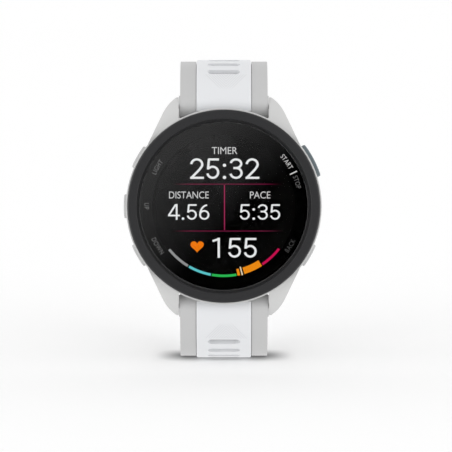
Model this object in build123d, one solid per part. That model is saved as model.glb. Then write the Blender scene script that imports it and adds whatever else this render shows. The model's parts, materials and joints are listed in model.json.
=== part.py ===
"""GPS running watch: round head, five side buttons and a two-piece quick-release strap.

Millimetres. The origin is the centre of the flat outer face of the sensor window, which lies
on the wrist. +Y points into the wrist and -Y out of the display, +Z points to 12 o'clock and
+X to 3 o'clock. A depth is a Y value, so the front of the bezel has the lowest one.
"""
from build123d import *
from math import acos, cos, degrees, hypot, radians, sin, sqrt
import os

os.makedirs("parts", exist_ok=True)

# ---- head: overall sizes ----
BEZEL_RADIUS = 21.5
HEAD_THICKNESS = 11.6       # bezel front to the rear cover's back
SENSOR_PROUD = 0.6          # sensor window beyond the rear cover
CASE_RIM = 0.35             # case shows this much outside the bezel
LUG_REACH = BEZEL_RADIUS + 2.9   # from the centre to the tip of a lug
LUG_TIP_WIDTH = 0.5
LUG_CROWN = (3.5, 3.6)      # round shoulder of a lug, across X and along Z
LUG_FLANK = (3.3, 6.9)      # straight outer side of a lug, across X and along Z
LUG_ROUND = 0.35
STRAP_WIDTH = 19.6
LUG_SIDE_GAP = 0.3          # strap to lug, each side

# ---- lens, bezel and display ----
BEZEL_HEIGHT = 1.6
BEZEL_EDGE = 0.3
BEZEL_LIP = 0.12
LENS_RADIUS = BEZEL_RADIUS - 2.65
LENS_CLEARANCE = 0.1
LENS_GROOVE = 0.6           # open groove round the lens
LENS_SEAT = 0.35            # height of the step that centres the lens
LENS_RECESS = 0.35
LENS_THICKNESS = 1.0
LENS_EDGE = 0.2
GASKET_THICKNESS = 0.15
LEDGE_THICKNESS = 0.7
LEDGE_WIDTH = 1.6
ADHESIVE_THICKNESS = 0.1
DISPLAY_RADIUS = LENS_RADIUS - 1.95
DISPLAY_THICKNESS = 0.8
FRAME_THICKNESS = 0.8
FLEX_WIDTH = 7.6
FLEX_THICKNESS = 0.3
FLEX_FOOT = 3.0             # length soldered to the board
FIT = 0.05                  # radial clearance of parts that drop into each other
SNUG = 0.02                 # radial clearance of glued, screwed and squeezed parts
OVERCUT = 1.0               # how far a cutter runs past the face that it opens

# ---- case and rear cover ----
CAVITY_RADIUS = BEZEL_RADIUS - 3.7
REAR_COVER_RADIUS = CAVITY_RADIUS + 0.8
REAR_COVER_THICKNESS = 1.3
CASE_BACK_INSET = 0.15      # case's back edge in front of the rear cover's back
CASE_BACK_RADIUS = REAR_COVER_RADIUS + 1.3
CASE_WALL_HEIGHT = HEAD_THICKNESS - 6.4   # straight part of the side wall
CASE_BULGE = 0.55           # side wall drawn in halfway down its round part
CASE_EDGE = 0.15
COVER_EDGE = 0.3
POCKET_ROUND = 0.5
SCREW_CIRCLE = CAVITY_RADIUS - 1.3
SCREW_SHANK_RADIUS = 0.6
SCREW_HEAD_RADIUS = 1.1
SCREW_HEAD_HEIGHT = 0.6
SCREW_LENGTH = 3.6
COVER_SINK = 0.05           # screws and socket below the rear cover
HEX_RADIUS = 0.5
HEX_DEPTH = 0.4
BOSS_RADIUS = 1.5
BOSS_LENGTH = 4.0
REAR_SEAL_WIDTH = 0.4
REAR_SEAL_HEIGHT = 0.5

# ---- sensor, charging socket and pressure port ----
SENSOR_RADIUS = 8.2
SENSOR_EDGE = 0.5
SENSOR_THICKNESS = 1.5
SENSOR_BOARD_RADIUS = 6.8
SENSOR_BOARD_THICKNESS = 0.6
SENSOR_BOARD_GAP = 0.8
PHOTODIODE_CIRCLE = 4.4
SOCKET_CENTRE_Z = -13.0
SOCKET_WIDTH = 8.6
SOCKET_HEIGHT = 3.8
SOCKET_DEPTH = 2.0
SOCKET_WALL = 0.6
SOCKET_ROUND = 0.9
CONTACTS = 4
CONTACT_PITCH = 1.9
CONTACT_RADIUS = 0.4
CONTACT_PROUD = 0.35
PORT_X = -13.6
PORT_RADIUS = 0.8
MEMBRANE_THICKNESS = 0.5

# ---- electronics ----
BOARD_RADIUS = CAVITY_RADIUS - 1.6
BOARD_THICKNESS = 0.8
BOARD_GAP = 0.95            # display frame to board, room for the cans
BATTERY_SIZE = (19.0, 4.0, 17.0)
BATTERY_CENTRE_Z = 3.5
BATTERY_GAP = 0.2
MOTOR_RADIUS = 1.7
MOTOR_LENGTH = 8.0
MOTOR_GAP = 0.3             # battery to motor
BUZZER_RADIUS = 2.6
BUZZER_HEIGHT = 1.2

# ---- buttons ----
BUTTON_TRAVEL = 0.45
CAP_LENGTH = 5.4
CAP_HEIGHT = 2.4
CAP_PROUD = 0.55
START_LENGTH = 7.8
START_HEIGHT = 2.7
START_PROUD = 0.85
CAP_THICKNESS = 1.5
CAP_DEPTH = 6.0             # how far a cutter for a cap reaches out
CAP_GAP = 0.12
CAP_ROUND = 0.25
CAP_STOP = 0.1              # left under a cap that is pressed right in
SHAFT_RADIUS = 0.8
SHAFT_CLEARANCE = 0.05
CLIP_RADIUS = SHAFT_RADIUS + 0.6
CLIP_THICKNESS = 0.3
CLIP_GROOVE = 0.25          # depth of its groove
CLIP_OPENING = 0.8
CLIP_GAP = 0.08             # clip to the cavity wall
SHAFT_TAIL = 0.75           # shaft beyond the clip
SEAL_RADIUS = SHAFT_RADIUS + 0.45
SEAL_THICKNESS = 0.5
SEAL_INSET = 0.55           # cavity wall to seal
SPRING_RADIUS = SHAFT_RADIUS + 0.25
SPRING_WIRE = 0.13
SPRING_TURNS = 3
SPRING_GAP = 0.08
SPRING_SEAT = 0.85
SWITCH_SIZE = (1.5, 3.0, 2.0)   # along the push, across it, and in depth
SWITCH_NOSE = 0.4
SWITCH_NOSE_RADIUS = 0.7
SWITCH_GAP = 0.06           # nose to a shaft that is pressed right in
BUTTONS = {                     # angle from 3 o'clock towards 12 o'clock
    "start_stop": (27.5, START_LENGTH, START_HEIGHT, START_PROUD),
    "back": (330.0, CAP_LENGTH, CAP_HEIGHT, CAP_PROUD),
    "light": (150.0, CAP_LENGTH, CAP_HEIGHT, CAP_PROUD),
    "up": (180.0, CAP_LENGTH, CAP_HEIGHT, CAP_PROUD),
    "down": (210.0, CAP_LENGTH, CAP_HEIGHT, CAP_PROUD),
}

# ---- spring bars ----
BAR_Z = BEZEL_RADIUS + 0.8
BAR_DEPTH = HEAD_THICKNESS - 3.6   # bar axis behind the bezel front
BAR_RADIUS = 0.9
BAR_WALL = 0.25
BAR_END_GAP = 0.4           # tube end to lug
TIP_RADIUS = 0.5
TIP_ENGAGEMENT = 1.15
TIP_CLEARANCE = 0.05
RELEASE_TRAVEL = 1.3
LEVER_X = STRAP_WIDTH / 2 - 2.4
LEVER_RADIUS = 0.55
LEVER_REACH = 3.1
LEVER_WALL = 0.8            # strap left outside the lever's slot
COLLAR_START = 1.2          # collar of the sprung tip, either side of the lever
COLLAR_END = 0.8
COLLAR_CLEARANCE = 0.04
BAR_SPRING_LENGTH = 3.6
BAR_SPRING_WIRE = 0.1
BAR_SPRING_TURNS = 7
STOP_LENGTH = 0.8
FIXED_TIP_PLUG = 2.0        # plug of the fixed tip in the tube

# ---- strap ----
STRAP_THICKNESS = 3.0       # over the centre panel
PANEL_PROUD = 0.38
PANEL_THICKNESS = 1.0
PANEL_WIDTH = STRAP_WIDTH - 7.3
PANEL_GROOVE = 0.12
PANEL_SHOULDER = 0.34
KNUCKLE_RADIUS = 2.6
KNUCKLE_CLEARANCE = 0.3
KNUCKLE_SIDE_GAP = 0.08     # knuckle to lug, each side
KNUCKLE_STEP = 0.15         # knuckle below the rails
UPPER_HORIZON = BAR_Z + 10.9   # furthest reach along Z
LOWER_HORIZON = BAR_Z + 12.0
NEAR_RADIUS = 25.0          # curve beside the head, over the panel
UPPER_TURN = 25.0           # where the next curve starts, past the horizon
UPPER_RADIUS = 32.0
UPPER_LENGTH = 74.0
LOWER_TURN = 5.0
LOWER_RADIUS = 60.0
LOWER_LENGTH = 110.0
SLOT_LENGTH = PANEL_WIDTH - 5.0
SLOT_WIDTH = 2.0
SLOT_PITCH = 4.45
FIRST_SLOT = 9.5            # along the strap from its bar
UPPER_SLOTS = 5
BLIND_SLOTS = 3
TAIL_MARGIN = 9.0
TAIL_ROUND = 6.0
UPPER_PANEL_MARGIN = 5.0    # panel's end to the buckle knuckle
LOWER_PANEL_MARGIN = 4.0    # panel's end to the tip of the tail
WRAP_END = -110.0           # angle of the panel's end on the knuckle
LEVER_TURN = 160.0          # lever's direction, on from the strap's outer side

# ---- buckle and keepers ----
PIN_RADIUS = 0.75
PIN_KNUCKLE = 1.6
BUCKLE_SIDE_GAP = 0.4
BUCKLE_ARM = 2.2
BUCKLE_THICKNESS = 1.9
BUCKLE_BACK = 2.2           # arms behind the pin axis
BUCKLE_ROUND = 2.0
BUCKLE_PIN_WALL = 0.8       # arm left outside the pin
NOTCH_DEPTH = 0.5
NOTCH_GAP = 0.2
BUCKLE_REACH = 9.6          # pin axis to the far edge of the crossbar
CROSSBAR = 2.0
TONGUE_WIDTH = 2.2
TONGUE_THICKNESS = 1.2
TONGUE_SLOT_GAP = 0.3
TONGUE_SLOT_LENGTH = 9.0
KEEPER_WIDTH = 5.0
KEEPER_WALL = 1.2
KEEPER_CLEARANCE = 0.2
KEEPER_ROOM = 3.4           # room for the tail over the strap
FIXED_KEEPER = 8.5          # keeper centre, back along the strap from the pin
SLIDING_KEEPER = 20.0

# ---- depths worked out from the sizes above ----
FRONT = -(HEAD_THICKNESS + SENSOR_PROUD)
LENS_FRONT = FRONT + LENS_RECESS
LENS_BACK = LENS_FRONT + LENS_THICKNESS
LEDGE_TOP = LENS_BACK + GASKET_THICKNESS
LEDGE_BACK = LEDGE_TOP + LEDGE_THICKNESS
CASE_TOP = FRONT + BEZEL_HEIGHT
DISPLAY_FRONT = LENS_BACK + ADHESIVE_THICKNESS
DISPLAY_BACK = DISPLAY_FRONT + DISPLAY_THICKNESS
FRAME_BACK = DISPLAY_BACK + FRAME_THICKNESS
BOARD_FRONT = FRAME_BACK + BOARD_GAP
BOARD_BACK = BOARD_FRONT + BOARD_THICKNESS
BATTERY_FRONT = BOARD_BACK + BATTERY_GAP
COVER_BACK = -SENSOR_PROUD
COVER_FRONT = COVER_BACK - REAR_COVER_THICKNESS
CASE_BACK = COVER_BACK - CASE_BACK_INSET
SENSOR_BOARD_BACK = -SENSOR_THICKNESS - SENSOR_BOARD_GAP
BUTTON_Y = BOARD_BACK + SWITCH_SIZE[2] / 2     # the switches stand on the board
BAR_Y = FRONT + BAR_DEPTH

CASE_RADIUS = BEZEL_RADIUS + CASE_RIM
BEZEL_BORE = LENS_RADIUS + LENS_CLEARANCE
SPIGOT_RADIUS = BEZEL_BORE + FIT
LUG_INNER = STRAP_WIDTH / 2 + LUG_SIDE_GAP
POCKET_Z = BAR_Z - KNUCKLE_RADIUS - KNUCKLE_CLEARANCE
POCKET_TOP = BAR_Y - KNUCKLE_RADIUS - PANEL_PROUD - 1.7
LUG_TIP_RADIUS = LUG_REACH - BAR_Z
BUTTON_FLOOR = CASE_RADIUS - CAP_THICKNESS
RECESS_FLOOR = BUTTON_FLOOR - BUTTON_TRAVEL - CAP_STOP
FLEX_Z = 3.2 - CAVITY_RADIUS
SCREW_ANGLES = (45, 135, 225, 315)


# ---- small helpers ----
def slab(face, back, front):
    """A face drawn in X and Z, thickened from one depth out to a lower one."""
    return extrude(Plane.XZ.offset(-back) * face, amount=back - front)


def disc(radius, back, front, hole=0.0):
    face = Circle(radius)
    if hole:
        face -= Circle(hole)
    return slab(face, back, front)


def turned(points):
    """A ring turned about the Y axis from its outline in radius and depth."""
    return revolve(make_face(Polyline(*points, close=True)), Axis.Y)


def radial(angle):
    """Frame whose Z runs out of the head through a button, and whose X lies along Z-X."""
    out = (cos(radians(angle)), 0, sin(radians(angle)))
    across = (-sin(radians(angle)), 0, cos(radians(angle)))
    return Plane(origin=(0, BUTTON_Y, 0), x_dir=across, z_dir=out)


def rod(frame, radius, start, end, hole=0.0):
    """A round rod along a frame's Z from start to end."""
    face = Circle(radius)
    if hole:
        face -= Circle(hole)
    return extrude(frame.offset(start) * face, amount=end - start)


def spring_along(frame, radius, wire, start, end, turns):
    """A coil spring along a frame's Z whose wire stays between start and end."""
    height = end - start - 2 * wire
    path = frame.offset(start + wire) * Helix(height / turns, height, radius)
    section = Plane(path @ 0, z_dir=path % 0) * Circle(wire)
    return sweep(section, path)


def flat_box(size, centre_x, back, centre_z):
    """A box by its X, Y and Z sizes, whose back face lies at a depth."""
    return Pos(centre_x, back - size[1] / 2, centre_z) * Box(*size)


def solids_of(shapes):
    """Separate solids kept in one node."""
    return Compound(children=[s for shape in shapes for s in shape.solids()])


def at_screws(make):
    """The same shape at each of the four screws."""
    places = [(SCREW_CIRCLE * cos(radians(a)), SCREW_CIRCLE * sin(radians(a))) for a in SCREW_ANGLES]
    return [Pos(x, 0, z) * make for x, z in places]


def save(name, shape):
    export_step(shape, "parts/" + name + ".step")


# ---- head: bezel, lens and display ----
def bezel_ring():
    inner = BEZEL_BORE - LEDGE_WIDTH
    groove = LENS_RADIUS + LENS_GROOVE
    seat = LENS_BACK - LENS_SEAT
    return turned([
        (inner, LEDGE_TOP), (BEZEL_BORE, LEDGE_TOP), (BEZEL_BORE, seat), (groove, seat),
        (groove, FRONT + BEZEL_LIP), (groove + BEZEL_LIP, FRONT),
        (BEZEL_RADIUS - BEZEL_EDGE, FRONT), (BEZEL_RADIUS, FRONT + BEZEL_EDGE),
        (BEZEL_RADIUS, CASE_TOP), (SPIGOT_RADIUS, CASE_TOP), (SPIGOT_RADIUS, LEDGE_BACK),
        (inner, LEDGE_BACK),
    ])


def lens_glass():
    return turned([
        (0, LENS_BACK), (LENS_RADIUS, LENS_BACK), (LENS_RADIUS, LENS_FRONT + LENS_EDGE),
        (LENS_RADIUS - LENS_EDGE, LENS_FRONT), (0, LENS_FRONT),
    ])


def display_frame():
    plate = disc(CAVITY_RADIUS - 2 * FIT, FRAME_BACK, DISPLAY_BACK)
    window = (FLEX_WIDTH + 1.4, FRAME_THICKNESS + 2 * OVERCUT, 2.2)
    return plate - flat_box(window, 0, FRAME_BACK + OVERCUT, FLEX_Z)


def display_flex():
    """Ribbon from the back of the display through the frame to the board."""
    ribbon = flat_box((FLEX_WIDTH, BOARD_FRONT - DISPLAY_BACK, FLEX_THICKNESS), 0, BOARD_FRONT, FLEX_Z)
    foot_z = FLEX_Z + (FLEX_FOOT - FLEX_THICKNESS) / 2
    return ribbon + flat_box((FLEX_WIDTH, FLEX_THICKNESS, FLEX_FOOT), 0, BOARD_FRONT, foot_z)


# ---- head: case and rear cover ----
def lug_outline():
    """One lug in X and Z: straight inner side, round shoulder, long outer flank."""
    shoulder = (LUG_INNER + LUG_CROWN[0], LUG_REACH - LUG_CROWN[1])
    root = (shoulder[0] + LUG_FLANK[0], shoulder[1] - LUG_FLANK[1])
    tip = (LUG_INNER + LUG_TIP_WIDTH, LUG_REACH)
    flank = Line(root, shoulder)
    crown = TangentArc(shoulder, tip, tangent=flank % 1)
    rest = Polyline(tip, (LUG_INNER, LUG_REACH), (LUG_INNER, LUG_REACH - 14.4), root)
    return make_face([flank, crown, *rest.edges()])


def lug_side():
    """Side view of the case in Y and Z, which rounds the lugs towards the wrist."""
    tip = (BAR_Y, BAR_Z)
    front_touch = (tip[0] - LUG_TIP_RADIUS * cos(radians(35)), tip[1] + LUG_TIP_RADIUS * sin(radians(35)))
    back_touch = (tip[0] + LUG_TIP_RADIUS * cos(radians(15)), tip[1] + LUG_TIP_RADIUS * sin(radians(15)))
    top = (CASE_TOP, LUG_REACH - 8.9)
    slope = ThreePointArc(top, ((top[0] + front_touch[0]) / 2 - 0.75, (top[1] + front_touch[1]) / 2 + 0.55),
                          front_touch)
    nose = ThreePointArc(front_touch, (tip[0], LUG_REACH), back_touch)
    rest = Polyline(back_touch, (CASE_BACK, LUG_REACH - 6.9), (CASE_BACK, 0), (CASE_TOP, 0), top)
    return make_face([slope, nose, *rest.edges()])


def main_case():
    wall_end = CASE_TOP + CASE_WALL_HEIGHT
    barrel_face = make_face([
        Line((0, CASE_TOP), (CASE_RADIUS - CASE_EDGE, CASE_TOP)),
        Line((CASE_RADIUS - CASE_EDGE, CASE_TOP), (CASE_RADIUS, CASE_TOP + CASE_EDGE)),
        Line((CASE_RADIUS, CASE_TOP + CASE_EDGE), (CASE_RADIUS, wall_end)),
        ThreePointArc((CASE_RADIUS, wall_end),
                      (CASE_RADIUS - CASE_BULGE, (wall_end + CASE_BACK) / 2 + 0.15),
                      (CASE_BACK_RADIUS, CASE_BACK)),
        Line((CASE_BACK_RADIUS, CASE_BACK), (0, CASE_BACK)),
        Line((0, CASE_BACK), (0, CASE_TOP)),
    ])
    case = revolve(barrel_face, Axis.Y)
    lug = slab(lug_outline(), CASE_BACK, CASE_TOP) & extrude(Plane.YZ * lug_side(), amount=BEZEL_RADIUS)
    outer_edges = lug.edges().filter_by(lambda e: (e @ 0.5).Z > BAR_Z and (e @ 0.5).X > LUG_INNER + 0.05)
    lug = fillet(outer_edges, LUG_ROUND)
    for flip_x in (False, True):
        side = lug.mirror(Plane.YZ) if flip_x else lug
        case += side
        case += side.mirror(Plane.XY)
    # display bore, cavity and the seat of the rear cover
    case -= disc(SPIGOT_RADIUS + FIT, LEDGE_BACK + FIT, CASE_TOP - OVERCUT)
    case -= disc(CAVITY_RADIUS, CASE_BACK + OVERCUT, CASE_TOP - OVERCUT)
    case -= disc(REAR_COVER_RADIUS + FIT, CASE_BACK + OVERCUT, COVER_FRONT)
    # strap pockets between the lugs, open to the back
    reach = LUG_REACH + 5 - POCKET_Z
    pocket = Pos(0, POCKET_Z + reach / 2) * Rectangle(2 * LUG_INNER, reach)
    pocket = fillet(pocket.vertices().sort_by(Axis.Y)[:2], POCKET_ROUND)
    pocket = slab(pocket, CASE_BACK + OVERCUT, POCKET_TOP)
    case -= pocket
    case -= pocket.mirror(Plane.XY)
    # screw bosses with their blind holes
    for boss in at_screws(disc(BOSS_RADIUS, COVER_FRONT, COVER_FRONT - BOSS_LENGTH)):
        case += boss & disc(CAVITY_RADIUS + 0.5, COVER_FRONT, COVER_FRONT - BOSS_LENGTH)
    for hole in at_screws(disc(SCREW_SHANK_RADIUS + SNUG, COVER_FRONT + OVERCUT, COVER_BACK - SCREW_LENGTH)):
        case -= hole
    case -= rear_seal_ring(SNUG)
    # lug holes for the tips of the spring bars
    for z in (BAR_Z, -BAR_Z):
        hole_end = LUG_INNER + TIP_ENGAGEMENT + 0.1
        case -= extrude(Plane.YZ.offset(-hole_end) * Pos(BAR_Y, z) * Circle(TIP_RADIUS + TIP_CLEARANCE),
                        amount=2 * hole_end)
    for name in BUTTONS:
        case -= button_recess(name)
    return case


def rear_seal_ring(extra=0.0):
    middle = (CAVITY_RADIUS + REAR_COVER_RADIUS) / 2
    return disc(middle + REAR_SEAL_WIDTH / 2 + extra, COVER_FRONT, COVER_FRONT - REAR_SEAL_HEIGHT - extra,
                middle - REAR_SEAL_WIDTH / 2 - extra)


def socket_outline(grow):
    return RectangleRounded(SOCKET_WIDTH + 2 * grow, SOCKET_HEIGHT + 2 * grow, SOCKET_ROUND + grow)


def rear_cover():
    plate = disc(REAR_COVER_RADIUS, COVER_BACK, COVER_FRONT)
    plate = chamfer(plate.edges().filter_by(lambda e: abs((e @ 0).Y - COVER_BACK) < 0.01), COVER_EDGE)
    behind, ahead = COVER_BACK + OVERCUT, COVER_FRONT - OVERCUT
    plate -= disc(SENSOR_RADIUS + FIT, behind, ahead)
    screw_hole = disc(SCREW_SHANK_RADIUS + FIT, behind, ahead)
    screw_hole += disc(SCREW_HEAD_RADIUS + FIT, behind, COVER_BACK - SCREW_HEAD_HEIGHT)
    for hole in at_screws(screw_hole):
        plate -= hole
    plate -= slab(Pos(0, SOCKET_CENTRE_Z) * socket_outline(SOCKET_WALL + SNUG), behind, ahead)
    plate -= Pos(PORT_X, 0, 0) * disc(PORT_RADIUS / 2, behind, ahead)
    plate -= Pos(PORT_X, 0, 0) * disc(PORT_RADIUS + SNUG, COVER_FRONT + MEMBRANE_THICKNESS, ahead)
    return plate


def rear_screws():
    screw = disc(SCREW_HEAD_RADIUS, COVER_BACK - COVER_SINK, COVER_BACK - SCREW_HEAD_HEIGHT)
    screw += disc(SCREW_SHANK_RADIUS, COVER_BACK - SCREW_HEAD_HEIGHT, COVER_BACK - SCREW_LENGTH + 0.1)
    screw -= slab(RegularPolygon(HEX_RADIUS, 6), COVER_BACK, COVER_BACK - HEX_DEPTH)
    return solids_of(at_screws(screw))


# ---- head: sensor, charging socket and pressure port ----
def sensor_window():
    return turned([
        (0, -SENSOR_THICKNESS), (SENSOR_RADIUS, -SENSOR_THICKNESS), (SENSOR_RADIUS, COVER_BACK),
        (SENSOR_RADIUS - SENSOR_EDGE, 0), (0, 0),
    ])


def sensor_board():
    return disc(SENSOR_BOARD_RADIUS, SENSOR_BOARD_BACK, SENSOR_BOARD_BACK - SENSOR_BOARD_THICKNESS)


def sensor_leds():
    return solids_of([flat_box((1.2, 0.6, 1.2), x, SENSOR_BOARD_BACK + 0.6, z)
                      for x, z in ((0, 1.0), (0, -1.0), (1.6, 0), (-1.6, 0))])


def sensor_photodiodes():
    spread = PHOTODIODE_CIRCLE * cos(radians(45))
    return solids_of([flat_box((1.8, 0.5, 1.8), x, SENSOR_BOARD_BACK + 0.5, z)
                      for x in (spread, -spread) for z in (spread, -spread)])


def charge_socket():
    bottom = COVER_BACK - SOCKET_DEPTH
    middle = Pos(0, SOCKET_CENTRE_Z)
    cup = slab(middle * socket_outline(SOCKET_WALL), COVER_BACK - COVER_SINK, bottom - SOCKET_WALL)
    cup -= slab(middle * socket_outline(0), COVER_BACK + OVERCUT, bottom)
    for x in contact_places():
        cup -= Pos(x, 0, SOCKET_CENTRE_Z) * disc(CONTACT_RADIUS, bottom + OVERCUT, bottom - 2 * OVERCUT)
    return cup


def contact_places():
    return [(i - (CONTACTS - 1) / 2) * CONTACT_PITCH for i in range(CONTACTS)]


def charge_contacts():
    bottom = COVER_BACK - SOCKET_DEPTH
    pin = disc(CONTACT_RADIUS, bottom + CONTACT_PROUD, bottom - SOCKET_WALL - 0.4)
    return solids_of([Pos(x, 0, SOCKET_CENTRE_Z) * pin for x in contact_places()])


def port_membrane():
    return Pos(PORT_X, 0, 0) * disc(PORT_RADIUS, COVER_FRONT + MEMBRANE_THICKNESS, COVER_FRONT)


# ---- head: electronics ----
def main_board():
    board = disc(BOARD_RADIUS, BOARD_BACK, BOARD_FRONT)
    for hole in at_screws(disc(BOSS_RADIUS + 0.2, BOARD_BACK + OVERCUT, BOARD_FRONT - OVERCUT)):
        board -= hole
    return board


def shield_cans():
    height = BOARD_GAP - 0.15
    return solids_of([flat_box((9.0, height, 8.0), 5.6, BOARD_FRONT, 4.6),
                      flat_box((7.0, height, 10.0), -6.0, BOARD_FRONT, -3.5)])


def board_chips():
    height = BOARD_GAP - 0.35
    places = ((4.0, 4.0, 3.6, -6.4), (3.0, 3.0, -7.4, 7.4), (2.2, 3.2, 9.6, -4.0))
    return solids_of([flat_box((w, height, d), x, BOARD_FRONT, z) for w, d, x, z in places])


def gps_antenna():
    """Open band just inside the case wall, in front of the board."""
    face = Circle(CAVITY_RADIUS - 0.1) - Circle(CAVITY_RADIUS - 0.5)
    face -= Pos(0, -CAVITY_RADIUS) * Rectangle(12, 8)
    return slab(face, BOARD_FRONT, FRAME_BACK)


def bluetooth_antenna():
    return flat_box((5.0, 0.6, 1.6), 0, BOARD_FRONT, BOARD_RADIUS - 2.8)


def battery():
    block = flat_box(BATTERY_SIZE, 0, BATTERY_FRONT + BATTERY_SIZE[1], BATTERY_CENTRE_Z)
    return fillet(block.edges().filter_by(Axis.Y), 1.2)


def vibration_motor():
    z = BATTERY_CENTRE_Z - BATTERY_SIZE[2] / 2 - MOTOR_RADIUS - MOTOR_GAP
    frame = Plane(origin=(-MOTOR_LENGTH / 2, BOARD_BACK + MOTOR_RADIUS, z), z_dir=(1, 0, 0))
    return rod(frame, MOTOR_RADIUS, 0, MOTOR_LENGTH)


def buzzer():
    return Pos(12.6, 0, -BUZZER_RADIUS) * disc(BUZZER_RADIUS, BOARD_BACK + BUZZER_HEIGHT, BOARD_BACK)


# ---- buttons ----
def stadium(length, height, grow=0.0):
    return SlotOverall(length + 2 * grow, height + 2 * grow)


def button_recess(name):
    """Everything that one button needs cut out of the case wall."""
    angle, length, height, proud = BUTTONS[name]
    frame = radial(angle)
    end = RECESS_FLOOR + OVERCUT / 2
    cut = extrude(frame.offset(RECESS_FLOOR) * stadium(length, height, CAP_GAP), amount=CAP_DEPTH)
    cut += rod(frame, SHAFT_RADIUS + SHAFT_CLEARANCE, CAVITY_RADIUS - 1.5 * OVERCUT, end)
    cut += rod(frame, SPRING_RADIUS + SPRING_WIRE + SPRING_GAP, RECESS_FLOOR - SPRING_SEAT, end)
    cut += rod(frame, SEAL_RADIUS + SNUG, seal_start() - SNUG, seal_start() + SEAL_THICKNESS + SNUG)
    return cut


def seal_start():
    return CAVITY_RADIUS + SEAL_INSET


def clip_start():
    return sqrt(CAVITY_RADIUS ** 2 - CLIP_RADIUS ** 2) - CLIP_GAP - CLIP_THICKNESS


def shaft_end():
    return clip_start() - SHAFT_TAIL


def button(name):
    """Cap and shaft: a rounded bar whose outer face follows the case."""
    angle, length, height, proud = BUTTONS[name]
    frame = radial(angle)
    outside = CASE_RADIUS + proud
    cap = extrude(frame.offset(BUTTON_FLOOR) * stadium(length, height), amount=CAP_DEPTH)
    cap &= disc(outside, 0, FRONT)
    outer_edges = cap.edges().filter_by(lambda e: hypot((e @ 0.5).X, (e @ 0.5).Z) > outside - 0.4)
    cap = fillet(outer_edges, CAP_ROUND)
    shaft = rod(frame, SHAFT_RADIUS, shaft_end(), BUTTON_FLOOR + 0.2)
    groove_end = clip_start() + CLIP_THICKNESS + SNUG
    shaft -= rod(frame, SHAFT_RADIUS + OVERCUT, clip_start() - SNUG, groove_end, SHAFT_RADIUS - CLIP_GROOVE)
    return cap + shaft


def button_clip(name):
    """E-clip in the groove at the inner end of a button's shaft."""
    frame = radial(BUTTONS[name][0])
    ring = Circle(CLIP_RADIUS) - Circle(SHAFT_RADIUS - CLIP_GROOVE + SNUG)
    ring -= Pos(0, CLIP_RADIUS) * Rectangle(CLIP_OPENING, 2 * CLIP_RADIUS)
    return extrude(frame.offset(clip_start()) * ring, amount=CLIP_THICKNESS)


def button_seals():
    return solids_of([rod(radial(b[0]), SEAL_RADIUS, seal_start(), seal_start() + SEAL_THICKNESS,
                          SHAFT_RADIUS + SHAFT_CLEARANCE / 2) for b in BUTTONS.values()])


def button_springs():
    start, end = RECESS_FLOOR - SPRING_SEAT + SNUG, BUTTON_FLOOR - SNUG
    return solids_of([spring_along(radial(b[0]), SPRING_RADIUS, SPRING_WIRE, start, end, SPRING_TURNS)
                      for b in BUTTONS.values()])


def tactile_switches():
    """Side-push switches on the back of the board, one behind each shaft."""
    deep, wide, tall = SWITCH_SIZE
    nose = shaft_end() - BUTTON_TRAVEL - SWITCH_GAP
    switches = []
    for b in BUTTONS.values():
        frame = radial(b[0])
        body = extrude(frame.offset(nose - SWITCH_NOSE - deep) * Rectangle(wide, tall), amount=deep)
        switches.append(body + rod(frame, SWITCH_NOSE_RADIUS, nose - SWITCH_NOSE - 0.2, nose))
    return solids_of(switches)


# ---- strap path ----
def polar(centre, radius, angle):
    """A point in Y and Z; angles run from +Z towards +Y."""
    return (centre[0] + radius * sin(radians(angle)), centre[1] + radius * cos(radians(angle)))


def strap_arcs(horizon, turn, far_radius, length):
    """The panel's outer curve as two tangent arcs: centre, radius, first and last angle."""
    bar_distance = NEAR_RADIUS - PANEL_PROUD - KNUCKLE_RADIUS
    centre_z = horizon - NEAR_RADIUS
    centre_y = BAR_Y + sqrt(bar_distance ** 2 - (BAR_Z - centre_z) ** 2)
    start = -degrees(acos((BAR_Z - centre_z) / bar_distance))
    near = (centre_y, centre_z)
    far = polar(near, NEAR_RADIUS - far_radius, turn)
    near_length = radians(turn - start) * NEAR_RADIUS
    end = turn + degrees((length - near_length) / far_radius)
    return [(near, NEAR_RADIUS, start, turn), (far, far_radius, turn, end)]


def along(arcs, distance):
    """Centre, radius and angle of the place a distance along the strap."""
    for centre, radius, first, last in arcs:
        span = radians(last - first) * radius
        if distance <= span or (centre, radius) == arcs[-1][:2]:
            return centre, radius, first + degrees(distance / radius)
        distance -= span


def arc_at(centre, radius, first, last):
    return ThreePointArc(polar(centre, radius, first), polar(centre, radius, (first + last) / 2),
                         polar(centre, radius, last))


def band(arcs, outer, inner):
    """Face between two curves that lie the given depths below the panel's outer curve."""
    over = [arc_at(c, r - outer, a, b) for c, r, a, b in arcs]
    under = [arc_at(c, r - inner, b, a) for c, r, a, b in reversed(arcs)]
    ends = [Line(over[-1] @ 1, under[0] @ 0), Line(under[-1] @ 1, over[0] @ 0)]
    return make_face([*over, ends[0], *under, ends[1]])


def across(face, width, middle=0.0):
    """A face drawn in Y and Z, thickened along X."""
    return extrude(Plane.YZ.offset(middle - width / 2) * face, amount=width)


def cut_through(arcs, distance, length, width, above, below):
    """A rounded slot cutter standing on the strap at a distance along it."""
    centre, radius, angle = along(arcs, distance)
    y, z = polar(centre, radius, angle)
    out = (0, sin(radians(angle)), cos(radians(angle)))
    frame = Plane(origin=(0, y, z), x_dir=(1, 0, 0), z_dir=out)
    return extrude(frame.offset(-below) * SlotOverall(length, width), amount=above + below)


UPPER_ARCS = strap_arcs(UPPER_HORIZON, UPPER_TURN, UPPER_RADIUS, UPPER_LENGTH)
LOWER_ARCS = strap_arcs(LOWER_HORIZON, LOWER_TURN, LOWER_RADIUS, LOWER_LENGTH)


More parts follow.
